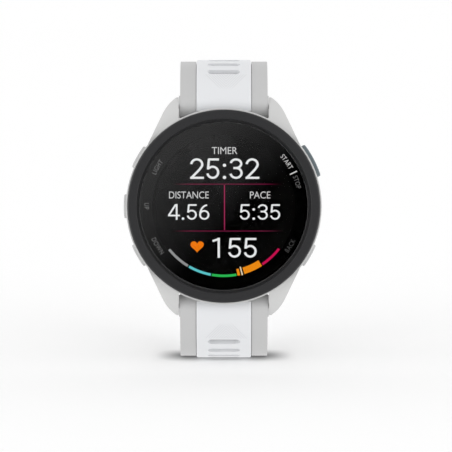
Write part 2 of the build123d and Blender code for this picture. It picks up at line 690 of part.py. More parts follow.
def with_wrap(arcs, end_angle, extra=0.0):
    """The panel's run: its curl over the knuckle about the bar, then the strap up to an angle."""
    near, far = arcs
    wrap = ((BAR_Y, BAR_Z), KNUCKLE_RADIUS + PANEL_PROUD, WRAP_END - extra, near[2])
    return [wrap, near, (far[0], far[1], far[2], end_angle)]


def strap_base(arcs, channel_end):
    """Grey strap half with its knuckle and the channel for the centre panel."""
    side = band(arcs, PANEL_PROUD, STRAP_THICKNESS)
    side += Pos(BAR_Y, BAR_Z) * Circle(KNUCKLE_RADIUS)
    body = across(side, STRAP_WIDTH)
    knuckle_width = 2 * (LUG_INNER - KNUCKLE_SIDE_GAP)
    body += across(Pos(BAR_Y, BAR_Z) * Circle(KNUCKLE_RADIUS - KNUCKLE_STEP), knuckle_width)
    channel = with_wrap(arcs, channel_end, 2.0)
    body -= across(band(channel, -1, PANEL_THICKNESS), PANEL_WIDTH + 2 * PANEL_GROOVE)
    # bore for the spring bar and the open slot of its lever
    body -= across(Pos(BAR_Y, BAR_Z) * Circle(BAR_RADIUS + SNUG), knuckle_width + OVERCUT)
    start = LEVER_X - RELEASE_TRAVEL - LEVER_RADIUS - 0.3
    width = STRAP_WIDTH / 2 - LEVER_WALL - start
    slot = Pos(start + width / 2, 0) * Rectangle(width, 2 * LEVER_RADIUS + 0.5)
    return body - extrude(lever_frame(arcs) * slot, amount=KNUCKLE_RADIUS + 4 * OVERCUT)


def lever_frame(arcs):
    """Frame on the spring bar whose Z points out of the strap's inner side."""
    inward = arcs[0][2] + LEVER_TURN
    out = (0, sin(radians(inward)), cos(radians(inward)))
    return Plane(origin=(0, BAR_Y, BAR_Z), x_dir=(1, 0, 0), z_dir=out)


def centre_panel(arcs, end_angle, slots):
    """White centre panel lying in the channel, with its row of slots."""
    panel = across(band(with_wrap(arcs, end_angle), 0, PANEL_THICKNESS), PANEL_WIDTH)
    panel = fillet(panel_rims(panel, arcs, end_angle), PANEL_SHOULDER)
    for i in range(slots):
        panel -= cut_through(arcs, FIRST_SLOT + i * SLOT_PITCH, SLOT_LENGTH, SLOT_WIDTH, 2, 2)
    return panel


def panel_rims(panel, arcs, end_angle):
    """The long outer edges on both sides of a panel."""
    runs = with_wrap(arcs, end_angle)

    def on_outer_curve(edge):
        point = edge @ 0.5
        return abs(point.X) > PANEL_WIDTH / 2 - 0.01 and any(
            abs(hypot(point.Y - c[0], point.Z - c[1]) - r) < 0.01 for c, r, *_ in runs)

    return panel.edges().filter_by(on_outer_curve)


def lower_slot_count():
    return int((LOWER_LENGTH - TAIL_MARGIN - FIRST_SLOT) / SLOT_PITCH) + 1


def pin_frame():
    """Frame on the buckle pin: X along the pin, Y on past the strap's end, Z out of it."""
    centre, radius, angle = along(UPPER_ARCS, UPPER_LENGTH)
    y, z = polar(centre, radius - STRAP_THICKNESS / 2, angle)
    out = (0, sin(radians(angle)), cos(radians(angle)))
    return Plane(origin=(0, y, z), x_dir=(1, 0, 0), z_dir=out)


def pin_round(radius, width, middle=0.0):
    """A round bar on the buckle pin's axis."""
    origin = pin_frame().origin
    return across(Pos(origin.Y, origin.Z) * Circle(radius), width, middle)


def strap_upper():
    end = UPPER_ARCS[1][3]
    channel_end = end - degrees((PIN_KNUCKLE + UPPER_PANEL_MARGIN) / UPPER_RADIUS)
    body = strap_base(UPPER_ARCS, channel_end)
    body += pin_round(PIN_KNUCKLE, STRAP_WIDTH)
    body -= pin_round(PIN_RADIUS + SNUG, STRAP_WIDTH + OVERCUT)
    slot = Rectangle(TONGUE_WIDTH + 2 * TONGUE_SLOT_GAP, TONGUE_SLOT_LENGTH)
    return body - extrude(pin_frame().offset(-STRAP_THICKNESS) * slot, amount=2 * STRAP_THICKNESS)


def strap_upper_panel():
    margin = PIN_KNUCKLE + UPPER_PANEL_MARGIN + PANEL_GROOVE
    return centre_panel(UPPER_ARCS, UPPER_ARCS[1][3] - degrees(margin / UPPER_RADIUS), UPPER_SLOTS)


def strap_lower():
    end = LOWER_ARCS[1][3]
    body = strap_base(LOWER_ARCS, end - degrees(LOWER_PANEL_MARGIN / LOWER_RADIUS))
    for i in range(BLIND_SLOTS, lower_slot_count()):
        body -= cut_through(LOWER_ARCS, FIRST_SLOT + i * SLOT_PITCH, SLOT_LENGTH, SLOT_WIDTH, 2, 6)
    centre, radius, angle = along(LOWER_ARCS, LOWER_LENGTH)
    y, z = polar(centre, radius, angle)

    def on_tail_corner(edge):
        point = edge @ 0.5
        near_tail = hypot(point.Y - y, point.Z - z) < STRAP_THICKNESS
        on_side = abs(abs(point.X) - STRAP_WIDTH / 2) < 0.01
        return near_tail and on_side and edge.length < STRAP_THICKNESS + 0.1

    return fillet(body.edges().filter_by(on_tail_corner), TAIL_ROUND).mirror(Plane.XY)


def strap_lower_panel():
    end = LOWER_ARCS[1][3] - degrees((LOWER_PANEL_MARGIN + PANEL_GROOVE) / LOWER_RADIUS)
    return centre_panel(LOWER_ARCS, end, lower_slot_count()).mirror(Plane.XY)


# ---- spring bars ----
def bar_plane(x):
    return Plane(origin=(x, BAR_Y, BAR_Z), x_dir=(0, 1, 0), z_dir=(1, 0, 0))


def bar_tube(arcs):
    """Crimped tube with a slot for the release lever."""
    half = LUG_INNER - BAR_END_GAP
    tube = rod(bar_plane(0), BAR_RADIUS, -half, half, BAR_RADIUS - BAR_WALL)
    slot_start = LEVER_X - RELEASE_TRAVEL - LEVER_RADIUS - 0.1
    slot_width = RELEASE_TRAVEL + 2 * LEVER_RADIUS + 0.2
    slot = Pos(slot_start + slot_width / 2, 0) * Rectangle(slot_width, 2 * LEVER_RADIUS + 0.1)
    return tube - extrude(lever_frame(arcs) * slot, amount=3)


def fixed_tip():
    half = LUG_INNER - BAR_END_GAP
    tip = rod(bar_plane(0), TIP_RADIUS, -LUG_INNER - TIP_ENGAGEMENT, FIXED_TIP_PLUG - half)
    return tip + rod(bar_plane(0), BAR_RADIUS - BAR_WALL, 0.2 - half, FIXED_TIP_PLUG - half)


def release_lever(arcs):
    """Sprung tip and the knob that draws it out of the lug."""
    start = LEVER_X - COLLAR_START
    tip = rod(bar_plane(0), TIP_RADIUS, start, LUG_INNER + TIP_ENGAGEMENT)
    tip += rod(bar_plane(0), BAR_RADIUS - BAR_WALL - COLLAR_CLEARANCE, start, LEVER_X + COLLAR_END)
    stem = Plane(origin=(LEVER_X, BAR_Y, BAR_Z), z_dir=lever_frame(arcs).z_dir)
    return tip + rod(stem, LEVER_RADIUS, 0, LEVER_REACH)


def bar_spring():
    end = LEVER_X - COLLAR_START - COLLAR_CLEARANCE
    radius = BAR_RADIUS - BAR_WALL - BAR_SPRING_WIRE - 0.07
    return spring_along(bar_plane(0), radius, BAR_SPRING_WIRE, spring_start(), end, BAR_SPRING_TURNS)


def spring_start():
    return LEVER_X - COLLAR_START - BAR_SPRING_LENGTH


def spring_stop():
    """Plug crimped in the tube, which the spring pushes against."""
    end = spring_start() - SNUG
    return rod(bar_plane(0), BAR_RADIUS - BAR_WALL, spring_start() - STOP_LENGTH, end)


# ---- buckle and keepers ----
def buckle_frame():
    inner = STRAP_WIDTH / 2 + BUCKLE_SIDE_GAP
    outer = inner + BUCKLE_ARM
    length = BUCKLE_REACH + BUCKLE_BACK
    middle = (BUCKLE_REACH - BUCKLE_BACK) / 2
    open_length = length - CROSSBAR + 4
    ring = Pos(0, middle) * RectangleRounded(2 * outer, length, BUCKLE_ROUND)
    ring -= Pos(0, BUCKLE_REACH - CROSSBAR - open_length / 2) * Rectangle(2 * inner, open_length)
    frame = pin_frame()
    body = extrude(frame.offset(-BUCKLE_THICKNESS / 2) * ring, amount=BUCKLE_THICKNESS)
    notch = Rectangle(TONGUE_WIDTH + 2 * NOTCH_GAP, CROSSBAR + 2 * OVERCUT)
    notch = Pos(0, BUCKLE_REACH - CROSSBAR / 2) * notch
    body -= extrude(frame.offset(BUCKLE_THICKNESS / 2 - NOTCH_DEPTH) * notch, amount=2 * OVERCUT)
    return body - pin_round(PIN_RADIUS + FIT, 2 * (outer - BUCKLE_PIN_WALL))


def buckle_pin():
    half = STRAP_WIDTH / 2 + BUCKLE_SIDE_GAP + BUCKLE_ARM - BUCKLE_PIN_WALL - 0.1
    return pin_round(PIN_RADIUS, 2 * half)


def buckle_tongue():
    """Loop on the pin and a bar that lies in the notch of the crossbar."""
    frame = pin_frame()
    low = BUCKLE_THICKNESS / 2 - NOTCH_DEPTH + 0.1
    length = BUCKLE_REACH - NOTCH_GAP
    bar = Pos(0, length / 2) * Rectangle(TONGUE_WIDTH, length)
    body = extrude(frame.offset(low) * bar, amount=TONGUE_THICKNESS)
    body += pin_round(PIN_KNUCKLE, TONGUE_WIDTH)
    return body - pin_round(PIN_RADIUS + FIT, TONGUE_WIDTH + OVERCUT)


def keeper(back_along, clearance):
    """Rubber loop around the strap and the room for the tail."""
    centre, radius, angle = along(UPPER_ARCS, UPPER_LENGTH - back_along)
    half = degrees(KEEPER_WIDTH / 2 / radius)
    side = STRAP_WIDTH / 2 + clearance
    outside = band([(centre, radius, angle - half, angle + half)], -(KEEPER_ROOM + KEEPER_WALL),
                   STRAP_THICKNESS + clearance + KEEPER_WALL)
    inside = band([(centre, radius, angle - 2 * half, angle + 2 * half)], -KEEPER_ROOM,
                  STRAP_THICKNESS + clearance)
    return across(outside, 2 * (side + KEEPER_WALL)) - across(inside, 2 * side)


# ---- write every piece ----
def main():
    save("bezel_ring", bezel_ring())
    save("lens_glass", lens_glass())
    save("lens_gasket", disc(LENS_RADIUS, LEDGE_TOP, LENS_BACK, BEZEL_BORE - LEDGE_WIDTH))
    save("display_adhesive", disc(DISPLAY_RADIUS, DISPLAY_FRONT, LENS_BACK))
    save("display_panel", disc(DISPLAY_RADIUS, DISPLAY_BACK, DISPLAY_FRONT))
    save("display_frame", display_frame())
    save("display_flex", display_flex())
    save("main_case", main_case())
    save("rear_cover", rear_cover())
    save("rear_gasket", rear_seal_ring())
    save("rear_screws", rear_screws())
    save("sensor_window", sensor_window())
    save("sensor_board", sensor_board())
    save("sensor_leds", sensor_leds())
    save("sensor_photodiodes", sensor_photodiodes())
    save("charge_socket", charge_socket())
    save("charge_contacts", charge_contacts())
    save("port_membrane", port_membrane())
    save("main_board", main_board())
    save("shield_cans", shield_cans())
    save("board_chips", board_chips())
    save("gps_antenna", gps_antenna())
    save("bluetooth_antenna", bluetooth_antenna())
    save("battery", battery())
    save("vibration_motor", vibration_motor())
    save("buzzer", buzzer())
    for name in BUTTONS:
        save(name + "_button", button(name))
        save(name + "_clip", button_clip(name))
    save("button_seals", button_seals())
    save("button_springs", button_springs())
    save("tactile_switches", tactile_switches())
    for side, arcs in (("upper", UPPER_ARCS), ("lower", LOWER_ARCS)):
        pieces = {
            "bar_tube": bar_tube(arcs), "bar_fixed_tip": fixed_tip(), "release_lever": release_lever(arcs),
            "bar_spring": bar_spring(), "bar_spring_stop": spring_stop(),
        }
        for name, piece in pieces.items():
            save(side + "_" + name, piece if side == "upper" else piece.mirror(Plane.XY))
    save("strap_upper", strap_upper())
    save("strap_upper_panel", strap_upper_panel())
    save("strap_lower", strap_lower())
    save("strap_lower_panel", strap_lower_panel())
    save("buckle_frame", buckle_frame())
    save("buckle_pin", buckle_pin())
    save("buckle_tongue", buckle_tongue())
    save("fixed_keeper", keeper(FIXED_KEEPER, 0.0))
    save("sliding_keeper", keeper(SLIDING_KEEPER, KEEPER_CLEARANCE))


main()
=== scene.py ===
"""Looks of the GPS running watch: display content, materials, light and camera."""

import json
from math import cos, pi, radians, sin

import bmesh
import bpy
from mathutils import Matrix, Vector

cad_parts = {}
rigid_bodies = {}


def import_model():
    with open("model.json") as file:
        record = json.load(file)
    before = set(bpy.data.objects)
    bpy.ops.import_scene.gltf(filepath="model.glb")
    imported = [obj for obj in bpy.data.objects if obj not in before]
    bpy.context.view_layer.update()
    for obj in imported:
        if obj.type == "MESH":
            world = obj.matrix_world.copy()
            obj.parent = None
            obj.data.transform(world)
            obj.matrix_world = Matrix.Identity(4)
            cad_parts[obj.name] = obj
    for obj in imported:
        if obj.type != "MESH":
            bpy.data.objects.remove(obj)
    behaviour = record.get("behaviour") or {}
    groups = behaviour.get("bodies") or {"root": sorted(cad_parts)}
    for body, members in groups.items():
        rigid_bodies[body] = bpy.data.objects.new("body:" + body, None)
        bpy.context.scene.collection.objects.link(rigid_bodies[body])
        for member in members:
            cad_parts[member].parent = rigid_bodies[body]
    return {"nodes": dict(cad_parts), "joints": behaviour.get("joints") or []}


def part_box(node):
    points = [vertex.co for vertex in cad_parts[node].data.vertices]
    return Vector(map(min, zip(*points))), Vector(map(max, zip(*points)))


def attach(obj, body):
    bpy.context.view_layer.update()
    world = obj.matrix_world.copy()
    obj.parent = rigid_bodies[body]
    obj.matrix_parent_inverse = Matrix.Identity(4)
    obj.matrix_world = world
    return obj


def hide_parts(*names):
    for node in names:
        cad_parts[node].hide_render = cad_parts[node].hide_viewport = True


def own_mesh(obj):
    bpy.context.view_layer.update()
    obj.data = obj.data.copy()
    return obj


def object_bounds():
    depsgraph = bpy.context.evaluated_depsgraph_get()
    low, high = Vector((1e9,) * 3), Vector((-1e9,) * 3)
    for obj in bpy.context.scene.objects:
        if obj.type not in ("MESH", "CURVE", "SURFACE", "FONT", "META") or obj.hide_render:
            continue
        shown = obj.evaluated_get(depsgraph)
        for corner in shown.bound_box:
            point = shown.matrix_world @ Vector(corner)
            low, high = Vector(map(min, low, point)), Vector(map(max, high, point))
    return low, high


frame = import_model()
CAD_BOX = [list(corner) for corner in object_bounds()]
NODES = frame["nodes"]
MM = 0.001


# ---------------------------------------------------------------- shader expressions
class Value:
    """A socket that can be used in sums: operators add Math nodes."""

    def __init__(self, finish, socket):
        self.finish, self.socket = finish, socket

    def maths(self, operation, *others):
        return self.finish.add("ShaderNodeMath", {"operation": operation}, dict(enumerate((self, *others))))

    def __add__(self, other):
        return self.maths("ADD", other)

    def __sub__(self, other):
        return self.maths("SUBTRACT", other)

    def __rsub__(self, other):
        return self.finish.add("ShaderNodeMath", {"operation": "SUBTRACT"}, {0: other, 1: self})

    def __mul__(self, other):
        return self.maths("MULTIPLY", other)

    def __truediv__(self, other):
        return self.maths("DIVIDE", other)

    def __pow__(self, other):
        return self.maths("POWER", other)

    __radd__, __rmul__ = __add__, __mul__

    def step(self, low, high, to_low=0.0, to_high=1.0):
        """Smooth ramp between two numbers."""
        return self.finish.add("ShaderNodeMapRange", {"interpolation_type": "SMOOTHSTEP"},
                               {"Value": self, "From Min": low, "From Max": high, "To Min": to_low,
                                "To Max": to_high})

    def sine(self):
        return self.maths("SINE")

    def size(self):
        return self.maths("ABSOLUTE")

    def clip(self):
        return self.finish.add("ShaderNodeClamp", {}, {"Value": self})


class Finish:
    """A material built from expressions, on one Principled shader."""

    def __init__(self, name, **settings):
        self.material = bpy.data.materials.new(name)
        self.material.use_nodes = True
        self.tree = self.material.node_tree
        self.tree.nodes.clear()
        self.out = self.tree.nodes.new("ShaderNodeOutputMaterial")
        self.shader = self.tree.nodes.new("ShaderNodeBsdfPrincipled")
        self.tree.links.new(self.shader.outputs[0], self.out.inputs[0])
        self.feed(self.shader, {key.replace("_", " ").title().replace("Ior", "IOR"): value
                                for key, value in settings.items()})

    def feed(self, node, inputs):
        for key, value in inputs.items():
            if isinstance(value, Value):
                self.tree.links.new(value.socket, node.inputs[key])
            elif isinstance(value, tuple) and len(value) == 3 and node.inputs[key].type == "RGBA":
                node.inputs[key].default_value = (*value, 1)
            else:
                node.inputs[key].default_value = value

    def add(self, kind, settings=None, inputs=None, result=0):
        """Any node: its type, its settings, then the values or links of its sockets."""
        node = self.tree.nodes.new(kind)
        for key, value in (settings or {}).items():
            setattr(node, key, value)
        self.feed(node, inputs or {})
        return Value(self, node.outputs[result])

    def place(self):
        """Object coordinates, in metres."""
        return self.add("ShaderNodeTexCoord", result="Object")

    def parts(self, vector):
        """The X, Y and Z of a vector."""
        node = self.add("ShaderNodeSeparateXYZ", {}, {0: vector}).socket.node
        return [Value(self, s) for s in node.outputs]

    def noise(self, scale, detail=4.0, vector=None, roughness=0.5):
        return self.add("ShaderNodeTexNoise", {}, {"Vector": vector or self.place(), "Scale": scale,
                                                   "Detail": detail, "Roughness": roughness})

    def blend(self, amount, low, high):
        """Colour between two colours."""
        return self.add("ShaderNodeMix", {"data_type": "RGBA"}, {0: amount, 6: low, 7: high}, 2)

    def bump(self, height, strength, distance):
        return self.add("ShaderNodeBump", {}, {"Height": height, "Strength": strength, "Distance": distance})

    def wear(self, **inputs):
        """Feeds the shader's inputs and gives back the material."""
        self.feed(self.shader, {key.replace("_", " ").title(): value for key, value in inputs.items()})
        return self.material


# ---------------------------------------------------------------- finishes
def silicone(name, colour, shade):
    """Matt moulded silicone: very fine grain, slight clouding."""
    f = Finish(name, roughness=0.62, ior=1.41)
    cloud = f.noise(90, 3)
    grain = f.noise(5200, 2)
    return f.wear(base_color=f.blend(cloud, shade, colour),
                  roughness=0.55 + 0.16 * f.noise(900, 3),
                  normal=f.bump(grain, 0.25, 0.00002))


HATCH_PITCH = 0.58 * MM


def hatched_silicone(name, colour, shade):
    """Matt moulded silicone with a faint chevron hatch between the slots and the head."""
    f = Finish(name, roughness=0.62, ior=1.41)
    x, _, z = f.parts(f.place())
    across, height = (x - 0.5 * MM).size(), z.size()
    lines = ((height - across) * (2 * pi / HATCH_PITCH)).sine()
    taper = (across - (height - 25.2 * MM) * 1.05).step(0.0, 0.9 * MM, 1.0, 0.0)
    patch = taper * height.step(25.6 * MM, 27 * MM) * height.step(29.4 * MM, 30 * MM, 1.0, 0.0)
    tone = f.noise(90, 3) * 0.8 - patch * (0.5 + 0.5 * lines) * 1.3
    grain = f.noise(5200, 2)
    base = f.blend((1 + tone).clip(), tuple(c * 0.93 for c in shade), colour)
    return f.wear(base_color=base, roughness=0.55 + 0.16 * f.noise(900, 3),
                  normal=f.bump(grain + patch * lines, 0.25, 0.00002))


def moulded(name, colour, shade, rough, grain_scale=3600, depth=0.00002):
    """Spark-eroded texture of a moulded polymer."""
    f = Finish(name, ior=1.5)
    grain = f.noise(grain_scale, 3)
    cloud = f.noise(120, 2)
    return f.wear(base_color=f.blend(cloud, shade, colour),
                  roughness=rough - 0.06 + 0.14 * grain,
                  normal=f.bump(grain, 0.35, depth))


TURNING = 52000        # phase of the turning marks, radians per metre of radius


def turned_polymer(name):
    """Dark satin ring with faint concentric turning."""
    f = Finish(name, ior=1.5)
    x, _, z = f.parts(f.place())
    radius = (x * x + z * z) ** 0.5
    rings = (radius * TURNING).sine()
    grain = f.noise(4200, 3)
    return f.wear(base_color=f.blend(grain, (0.009, 0.009, 0.010), (0.016, 0.016, 0.018)),
                  roughness=0.36 + 0.12 * grain,
                  normal=f.bump(rings * 0.4 + grain, 0.25, 0.00001))


def brushed(name, colour, rough, stretch=(60, 2400, 2400)):
    """Metal brushed along one direction."""
    f = Finish(name, metallic=1.0)
    along = f.add("ShaderNodeMapping", {}, {"Vector": f.place(), "Scale": stretch})
    lines = f.noise(1.0, 4, along)
    return f.wear(base_color=f.blend(lines, tuple(c * 0.8 for c in colour), colour),
                  roughness=rough - 0.08 + 0.2 * lines,
                  normal=f.bump(lines, 0.2, 0.00001))


def lens(name):
    """Clear hardened glass with the faintest unevenness of polish."""
    f = Finish(name, roughness=0.0, ior=1.5, transmission_weight=1.0)
    polish = f.noise(60, 2)
    return f.wear(base_color=f.blend(polish, (0.985, 0.987, 0.99), (1.0, 1.0, 1.0)))


def clear_film(name):
    """Optical adhesive, nearly invisible."""
    f = Finish(name, roughness=0.4, ior=1.45, alpha=0.01, specular_ior_level=0.0)
    return f.wear(base_color=f.blend(f.noise(300), (0.02, 0.02, 0.02), (0.03, 0.03, 0.03)))


def black_panel(name, rough=0.4, shine=0.05):
    """Unlit display or printed border: near black with a trace of fine grain."""
    f = Finish(name, ior=1.5, specular_ior_level=shine)
    cells = f.noise(9000, 1)
    return f.wear(base_color=f.blend(cells, (0.0012, 0.0012, 0.0014), (0.0024, 0.0024, 0.0027)),
                  roughness=rough + 0.02 * cells)


def lit(name, colour, strength=1.0, fade=None):
    """Glowing emission: lit parts of the display, and the printed legends as painted light; fade gives the
    middle, half-width and softness along X, in metres.
    """
    f = Finish(name, base_color=(0.0, 0.0, 0.0), roughness=0.6, specular_ior_level=0.0,
               emission_strength=strength)
    cells = f.noise(11000, 1)
    dim = tuple(c * 0.94 for c in colour)
    glow = f.blend(cells, dim, colour)
    if fade:
        middle, half, soft = fade
        x = f.parts(f.place())[0]
        edge = (x - middle).size().step(half - soft, half, 1.0, 0.0)
        glow = f.blend(edge, (0.0, 0.0, 0.0), glow)
    return f.wear(emission_color=glow)


def circuit_board(name):
    """Green solder mask over a web of copper traces."""
    f = Finish(name, ior=1.5)
    traces = f.add("ShaderNodeTexVoronoi", {"feature": "DISTANCE_TO_EDGE"}, {"Scale": 900.0}).step(0.02, 0.06)
    return f.wear(base_color=f.blend(traces, (0.10, 0.22, 0.10), (0.012, 0.075, 0.035)),
                  roughness=0.35 + 0.2 * traces)


def smoked_window(name):
    """Dark optical window over the sensors, glossy and slightly hazy."""
    f = Finish(name, ior=1.5)
    haze = f.noise(700, 2)
    return f.wear(base_color=f.blend(haze, (0.010, 0.010, 0.011), (0.016, 0.016, 0.018)),
                  roughness=0.06 + 0.05 * haze)


def dress(material, *names):
    """Gives one material to nodes of the frame."""
    for name in names:
        obj = NODES[name]
        obj.data.materials.clear()
        obj.data.materials.append(material)


# ---------------------------------------------------------------- mesh helpers
SHEET = 0.02 * MM              # thickness of a printed or lit sheet


def new_piece(name, mesh, material, body="head"):
    """A visual piece that rides on a body."""
    obj = bpy.data.objects.new(name, mesh)
    bpy.context.scene.collection.objects.link(obj)
    obj.data.materials.clear()
    obj.data.materials.append(material)
    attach(obj, body)
    return obj


def face_mesh(name, outline, faces, depth):
    """A thin sheet facing the front, from points in X and Z and its faces."""
    mesh = bpy.data.meshes.new(name)
    n = len(outline)
    verts = [(x, depth, z) for x, z in outline] + [(x, depth + SHEET, z) for x, z in outline]
    edges = {}
    for face in faces:
        for a, b in zip(face, face[1:] + face[:1]):
            edges[(a, b)] = edges.get((b, a), 0) or 1
    rim = [(a, b) for (a, b) in edges if (b, a) not in edges]
    polys = [tuple(face) for face in faces]
    polys += [tuple(i + n for i in reversed(face)) for face in faces]
    polys += [(b, a, a + n, b + n) for a, b in rim]
    mesh.from_pydata(verts, [], polys)
    mesh.validate()
    bm = bmesh.new()
    bm.from_mesh(mesh)
    bmesh.ops.recalc_face_normals(bm, faces=bm.faces)
    bm.to_mesh(mesh)
    bm.free()
    return mesh


def arc_strip(radius, width, first, last, steps=48):
    """Points and faces of a strip that follows a circle, angles from 3 o'clock."""
    points = []
    for i in range(steps + 1):
        a = radians(first + (last - first) * i / steps)
        points += [((radius - width / 2) * cos(a), (radius - width / 2) * sin(a)),
                   ((radius + width / 2) * cos(a), (radius + width / 2) * sin(a))]
    return points, [(2 * i, 2 * i + 1, 2 * i + 3, 2 * i + 2) for i in range(steps)]


def bar(x0, x1, z0, z1):
    """Points and face of an upright rectangle."""
    return [(x0, z0), (x1, z0), (x1, z1), (x0, z1)], [(0, 1, 2, 3)]


def lettering(words, height, spacing=1.0):
    """Flat letters in X and Y, baseline on zero, scaled to a capital height."""
    curve = bpy.data.curves.new("letters", "FONT")
    curve.body = words
    curve.space_character = spacing
    curve.resolution_u = 6
    curve.extrude = 0.004
    holder = bpy.data.objects.new("letters", curve)
    bpy.context.scene.collection.objects.link(holder)
    bpy.context.view_layer.update()
    mesh = bpy.data.meshes.new_from_object(holder.evaluated_get(bpy.context.evaluated_depsgraph_get()))
    bpy.data.objects.remove(holder)
    cap = max(v.co.y for v in mesh.vertices)
    mesh.transform(Matrix.Scale(height / cap, 4))
    mesh.transform(Matrix.Diagonal((1, 1, SHEET / 2 / max(v.co.z for v in mesh.vertices), 1)))
    return mesh


def bow(centre_x, centre_y, radius_x, radius_y, first, last, steps=20):
    """Points along part of an ellipse."""
    turns = [radians(first + (last - first) * i / steps) for i in range(steps + 1)]
    return [(centre_x + radius_x * cos(a), centre_y + radius_y * sin(a)) for a in turns]


STROKE = 0.104                 # width of a digit's strokes, for a digit one unit tall
DOT = 0.078                    # radius of a dot
DOT_SIDES = 20
DIGITS = {      # width, then the middle lines of the strokes, for a digit one unit tall
    "1": (0.76, [[(0.40, 0), (0.40, 1)], [(0.42, 0.945), (0.12, 0.835)]]),
    "2": (0.72, [bow(0.36, 0.70, 0.245, 0.242, 176, -22) + [(0.47, 0.44), (0.13, 0.07)],
                 [(0.06, 0.059), (0.68, 0.059)]]),
    "3": (0.72, [bow(0.35, 0.735, 0.235, 0.206, 172, -90), bow(0.35, 0.294, 0.25, 0.235, 90, -170),
                 [(0.23, 0.529), (0.36, 0.529)]]),
    "4": (0.76, [[(0.49, 0.98), (0.09, 0.30)], [(0.04, 0.275), (0.73, 0.275)], [(0.54, 0), (0.54, 1)]]),
    "5": (0.72, [[(0.17, 0.941), (0.64, 0.941)], [(0.19, 0.97), (0.145, 0.46)],
                 [(0.13, 0.50)] + bow(0.36, 0.325, 0.245, 0.266, 125, -168)]),
    "6": (0.73, [bow(0.37, 0.315, 0.245, 0.256, 0, 360, 36), bow(0.58, 0.33, 0.455, 0.61, 180, 96)]),
    ":": (0.34, []),
    ".": (0.30, []),
}


def ribbon(path, points, faces):
    """Adds the quads of one stroke, square at its ends."""
    start = len(points)
    for i, (x, y) in enumerate(path):
        before, after = path[max(i - 1, 0)], path[min(i + 1, len(path) - 1)]
        step = Vector((after[0] - before[0], after[1] - before[1])).normalized() * STROKE / 2
        points += [(x - step.y, y + step.x), (x + step.y, y - step.x)]
    for i in range(start, len(points) - 2, 2):
        faces.append((i, i + 1, i + 3, i + 2))


def figures(name, words, centre, baseline, width, height, material):
    """A row of plain digits with even strokes, fitted to a width about a centre."""
    points, faces, pen = [], [], 0.0
    for sign in words:
        advance, strokes = DIGITS[sign]
        first = len(points)
        for path in strokes:
            ribbon(path, points, faces)
        dots = {":": (DOT, 0.66), ".": (DOT,)}.get(sign, ())
        for level in dots:
            faces.append(tuple(range(len(points), len(points) + DOT_SIDES)))
            points += bow(advance / 2, level, DOT, DOT, 0, 360 - 360 / DOT_SIDES, DOT_SIDES - 1)
        points[first:] = [(x + pen, y) for x, y in points[first:]]
        pen += advance
    low, high = min(x for x, _ in points), max(x for x, _ in points)
    stretch = width / (high - low)
    placed = [(centre + (x - (low + high) / 2) * stretch, baseline + y * height) for x, y in points]
    return new_piece(name, face_mesh(name, placed, faces, SCREEN_DEPTH), material)


def span(mesh):
    """First and last X of a mesh."""
    xs = [v.co.x for v in mesh.vertices]
    return min(xs), max(xs)


FACING = Matrix.Rotation(radians(90), 4, "X")
LEGEND_SPACING = 1.12
LEGEND_PITCH = 0.76            # how narrow the legends are set round the rim


def word(name, words, centre, baseline, width, height, material):
    """Straight lettering on the display, fitted to a width about a centre."""
    mesh = lettering(words, height)
    low, high = span(mesh)
    mesh.transform(Matrix.Translation((-(low + high) / 2, 0, 0)))
    mesh.transform(Matrix.Diagonal((width / (high - low), 1, 1, 1)))
    mesh.transform(Matrix.Translation((centre, SCREEN_DEPTH, baseline)) @ FACING)
    return new_piece(name, mesh, material)


def curved_word(name, words, radius, angle, height, material, outward):
    """Lettering on the border print that follows the rim: tops out, or tops in on the lower half."""
    mesh = lettering(words, height, LEGEND_SPACING)
    low, high = span(mesh)
    turn = -1 if outward else 1
    for v in mesh.vertices:
        run = (v.co.x - (low + high) / 2) * LEGEND_PITCH
        reach = radius + (v.co.y - height / 2) * (1 if outward else -1)
        a = radians(angle) + turn * run / radius
        v.co = Vector((reach * cos(a), LEGEND_DEPTH - v.co.z, reach * sin(a)))
    return new_piece(name, mesh, material)


# ---------------------------------------------------------------- display content
LENS_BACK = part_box("lens_glass")[1][1]
PANEL_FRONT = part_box("display_panel")[0][1]
LENS_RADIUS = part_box("lens_glass")[1][0]
PRINT_DEPTH = LENS_BACK - 0.03 * MM
LEGEND_DEPTH = LENS_BACK - 0.035 * MM
SCREEN_DEPTH = PANEL_FRONT - 0.03 * MM
LABEL_HEIGHT = 1.55 * MM
PRINT_INNER = 15.9 * MM        # where the printed border starts
LEGEND_RADIUS, LEGEND_HEIGHT = 17.2 * MM, 1.05 * MM


def build_display():
    """Three labelled fields, a heart rate and its gauge."""
    white = lit("lit_white", (0.86, 0.88, 0.88))
    grey = lit("lit_label", (0.62, 0.63, 0.63))
    word("screen_label_timer", "TIMER", 0.16 * MM, 11.62 * MM, 5.7 * MM, LABEL_HEIGHT, grey)
    figures("screen_timer", "25:32", 0.19 * MM, 6.05 * MM, 15.4 * MM, 4.65 * MM, white)
    word("screen_label_distance", "DISTANCE", -7.78 * MM, 1.74 * MM, 8.85 * MM, LABEL_HEIGHT, grey)
    figures("screen_distance", "4.56", -7.82 * MM, -3.03 * MM, 9.2 * MM, 3.5 * MM, white)
    word("screen_label_pace", "PACE", 8.09 * MM, 1.74 * MM, 4.55 * MM, LABEL_HEIGHT, grey)
    figures("screen_pace", "5:35", 8.04 * MM, -3.03 * MM, 9.0 * MM, 3.5 * MM, white)
    figures("screen_heart_rate", "155", 2.36 * MM, -11.48 * MM, 9.9 * MM, 4.45 * MM, white)
    build_rules()
    build_heart()
    build_gauge()


